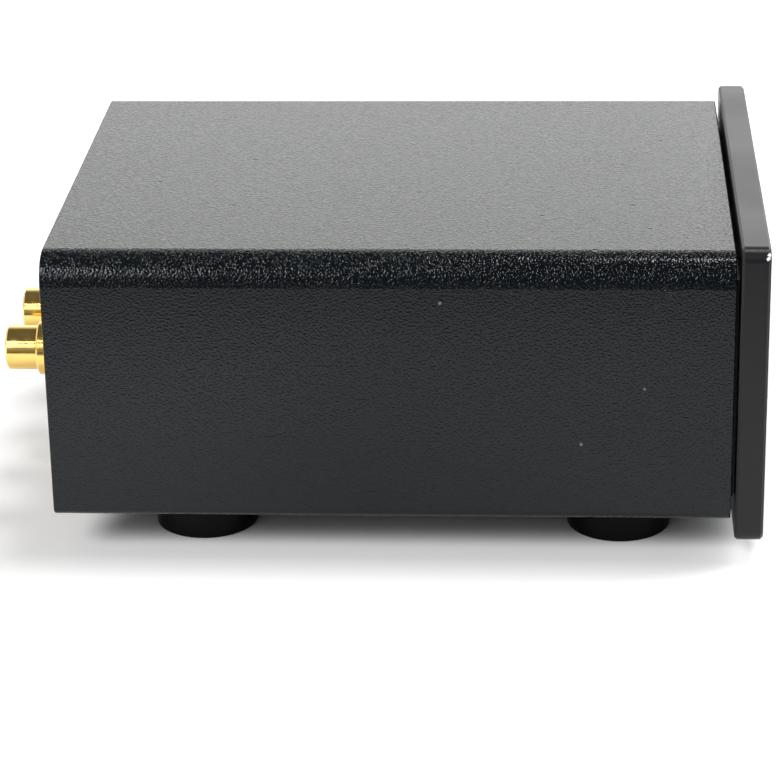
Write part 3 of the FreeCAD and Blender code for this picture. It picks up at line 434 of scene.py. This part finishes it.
def stud_rings(low, high):
    """Stud from its head to its tip: each place along Y with the radii around it."""
    head_radius = (high.x - low.x) / 2
    seat = low.y + STUD_HEAD_HEIGHT
    crown = head_radius - STUD_HEAD_ROUND
    rings = [(low.y, [0.0] * THREAD_SEGMENTS)]
    for step in range(STUD_ROUND_STEPS + 1):
        turn = math.pi / 2 * step / STUD_ROUND_STEPS
        y = low.y + STUD_HEAD_ROUND * (1 - math.cos(turn))
        rings.append((y, [crown + STUD_HEAD_ROUND * math.sin(turn)] * THREAD_SEGMENTS))
    rings.append((seat, [head_radius] * THREAD_SEGMENTS))
    count = round((high.y - seat) / THREAD_PITCH * THREAD_STEPS)
    for step in range(count + 1):
        y = seat + (high.y - seat) * step / count
        rings.append((y, [thread_radius(y, segment, high.y) for segment in range(THREAD_SEGMENTS)]))
    rings.append((high.y, [0.0] * THREAD_SEGMENTS))
    return rings


def turned_mesh(name, rings, centre_x, centre_z):
    """Closed mesh around an axis along Y, through rings given in millimetres."""
    work = bmesh.new()
    rows = []
    for y, ring in rings:
        row = []
        for segment, radius in enumerate(ring):
            turn = 2 * math.pi * segment / THREAD_SEGMENTS
            row.append(work.verts.new((
                (centre_x + radius * math.sin(turn)) * MM,
                y * MM,
                (centre_z + radius * math.cos(turn)) * MM,
            )))
        rows.append(row)
    for here, after in zip(rows, rows[1:]):
        for segment in range(THREAD_SEGMENTS):
            following = (segment + 1) % THREAD_SEGMENTS
            work.faces.new((here[segment], after[segment], after[following], here[following]))
    bmesh.ops.remove_doubles(work, verts=work.verts, dist=MERGE_DISTANCE)
    bmesh.ops.recalc_face_normals(work, faces=work.faces)
    mesh = bpy.data.meshes.new(name)
    work.to_mesh(mesh)
    work.free()
    return mesh


def add_ground_stud(material):
    """Ground stud with its real thread, in place of the plain one."""
    low, high = (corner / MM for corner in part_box("ground_stud"))
    rings = stud_rings(low, high)
    mesh = turned_mesh("threaded_ground_stud", rings, (low.x + high.x) / 2, (low.z + high.z) / 2)
    mesh.materials.append(material)
    mesh.shade_smooth()
    mesh.set_sharp_from_angle(angle=STUD_SHARP_ANGLE)
    stud = bpy.data.objects.new("threaded_ground_stud", mesh)
    bpy.context.scene.collection.objects.link(stud)
    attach(stud, "unit")
    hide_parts("ground_stud")


def add_camera():
    """Camera that stands and looks as the photograph's did."""
    ahead = Vector((
        math.cos(CAMERA_PAN) * math.cos(CAMERA_DOWN),
        math.sin(CAMERA_PAN) * math.cos(CAMERA_DOWN),
        -math.sin(CAMERA_DOWN),
    ))
    level = Vector((math.sin(CAMERA_PAN), -math.cos(CAMERA_PAN), 0))
    above = level.cross(ahead)
    right = level * math.cos(CAMERA_ROLL) + above * math.sin(CAMERA_ROLL)
    up = above * math.cos(CAMERA_ROLL) - level * math.sin(CAMERA_ROLL)
    data = bpy.data.cameras.new("camera")
    data.sensor_width = SENSOR_WIDTH_MM
    data.lens = SENSOR_WIDTH_MM * FOCAL_LENGTH_PIXELS / PHOTO_WIDTH_PIXELS
    data.clip_start = CAMERA_NEAR
    data.clip_end = CAMERA_FAR
    camera = bpy.data.objects.new("camera", data)
    turn = Matrix((right, up, -ahead)).transposed()
    camera.matrix_world = Matrix.LocRotScale(CAMERA_PLACE, turn.to_quaternion(), None)
    bpy.context.scene.collection.objects.link(camera)
    bpy.context.scene.camera = camera


def add_floor():
    """White paper floor, as wide as any view needs.

    Gloss sees it darker behind the camera and a little darker toward the front.
    """
    half = FLOOR_HALF_SIZE
    corners = [(-half, -half, 0), (half, -half, 0), (half, half, 0), (-half, half, 0)]
    mesh = bpy.data.meshes.new("floor")
    mesh.from_pydata(corners, [], [(0, 1, 2, 3)])
    floor = bpy.data.objects.new("floor", mesh)
    bpy.context.scene.collection.objects.link(floor)
    finish = Finish("white_paper", specular=0.0)
    spot = finish.node("ShaderNodeSeparateXYZ", Vector=finish.place).outputs
    near_x, far_x = FLOOR_DARK_BEHIND_CAMERA
    rear_y, front_y = FLOOR_DIM_TOWARD_FRONT
    far = finish.levels(spot["X"], far_x, near_x, 1.0, 0.0)
    front = finish.levels(spot["Y"], front_y, rear_y, FLOOR_DIM_SHARE, 0.0)
    in_gloss = finish.node("ShaderNodeLightPath").outputs["Is Glossy Ray"]
    dark = finish.math("MULTIPLY", finish.math("MAXIMUM", far, front), in_gloss)
    white = finish.blend(dark, (FLOOR_WHITENESS,) * 3, (ROOM_DARKNESS,) * 3)
    mesh.materials.append(finish.done(white, 1.0))


def add_world():
    """Surroundings: white to the camera, a plain fill for the floor, and to gloss a white room.

    In gloss the ceiling and the room behind the camera are dark, and less so toward the sockets.
    """
    world = bpy.data.worlds.new("studio")
    world.use_nodes = True
    bpy.context.scene.world = world
    tree = world.node_tree

    def node(kind, inputs, **settings):
        made = tree.nodes.new(kind)
        for key, value in settings.items():
            setattr(made, key, value)
        for key, value in inputs.items():
            if isinstance(value, bpy.types.NodeSocket):
                tree.links.new(value, made.inputs[key])
            else:
                made.inputs[key].default_value = value
        return made

    def fade(value, ends):
        """1 at the first end, 0 at the second and smooth between."""
        inputs = {"Value": value, "From Min": ends[0], "From Max": ends[1], "To Min": 1.0, "To Max": 0.0}
        return node("ShaderNodeMapRange", inputs, interpolation_type="SMOOTHSTEP").outputs["Result"]

    def mix(share, first, second):
        """Value from first, where share is 0, to second, where it is 1."""
        return node("ShaderNodeMix", {"Factor": share, "A": first, "B": second}).outputs["Result"]

    def combined(operation, first, second):
        return node("ShaderNodeMath", {0: first, 1: second}, operation=operation).outputs[0]

    way = node("ShaderNodeSeparateXYZ", {"Vector": node("ShaderNodeTexCoord", {}).outputs["Generated"]})
    low = fade(way.outputs["Z"], ROOM_DARK_ABOVE)
    ahead = fade(way.outputs["X"], ROOM_DARK_BEHIND_CAMERA)
    lit = combined("MULTIPLY", low, ahead)
    side = fade(way.outputs["Y"], ROOM_BRIGHT_FROM)
    bright = mix(low, ROOM_BRIGHT_SIDE_ABOVE, ROOM_BRIGHT_SIDE)
    dark = mix(side, bright, ROOM_DARKNESS)
    room = mix(lit, dark, 1.0)
    path = node("ShaderNodeLightPath", {})
    gloss = combined("MAXIMUM", path.outputs["Is Glossy Ray"], path.outputs["Is Transmission Ray"])
    fill = mix(gloss, WORLD_ON_FLOOR, room)
    seen = mix(path.outputs["Is Camera Ray"], fill, 1.0)
    background = tree.nodes["Background"]
    background.inputs["Color"].default_value = (1, 1, 1, 1)
    tree.links.new(seen, background.inputs["Strength"])


def add_softbox(name, centre, width, height, radiance):
    """Flat lamp that faces the object."""
    centre = Vector(centre)
    data = bpy.data.lights.new(name, "AREA")
    data.shape = "RECTANGLE"
    data.size = width
    data.size_y = height
    data.energy = LAMP_WATTS * radiance * width * height
    light = bpy.data.objects.new(name, data)
    light.location = centre
    light.rotation_mode = "QUATERNION"
    light.rotation_quaternion = (-centre).to_track_quat("-Z", "Y")
    light.visible_camera = False
    bpy.context.scene.collection.objects.link(light)
    return light


def add_lamps():
    """Six flat lamps, each for one light or reflection of the photograph."""
    # The bright wall that the top mirrors, and more of it toward the front panel
    add_softbox("behind", (1.6, -0.62, 0.6), 2.4, 0.8, 0.86).visible_diffuse = False
    add_softbox("behind_front_end", (1.6, -0.78, 0.6), 1.4, 0.8, 0.16).visible_diffuse = False
    # The ceiling lamp, the two lamps that light the rounded edge and the sockets, and the floor's light
    add_softbox("above", (0.52, -1.23, 4.6), 1.2, 1.7, 15.2)
    add_softbox("beside_camera", (-3.6, 2.7, 3.76), 3.0, 2.0, 9.8)
    add_softbox("low_beside_camera", (-4.35, 2.25, 2.5), 2.8, 1.8, 2.0)
    add_softbox("before_panel", (0.9, -1.6, 0.9), 1.2, 1.0, 6.8).visible_glossy = False


bpy.context.scene.view_settings.view_transform = "Standard"
add_camera()
add_floor()
add_world()
add_lamps()
materials = make_materials()
dress_nodes(materials)
add_ground_stud(materials["nickel_brass"])
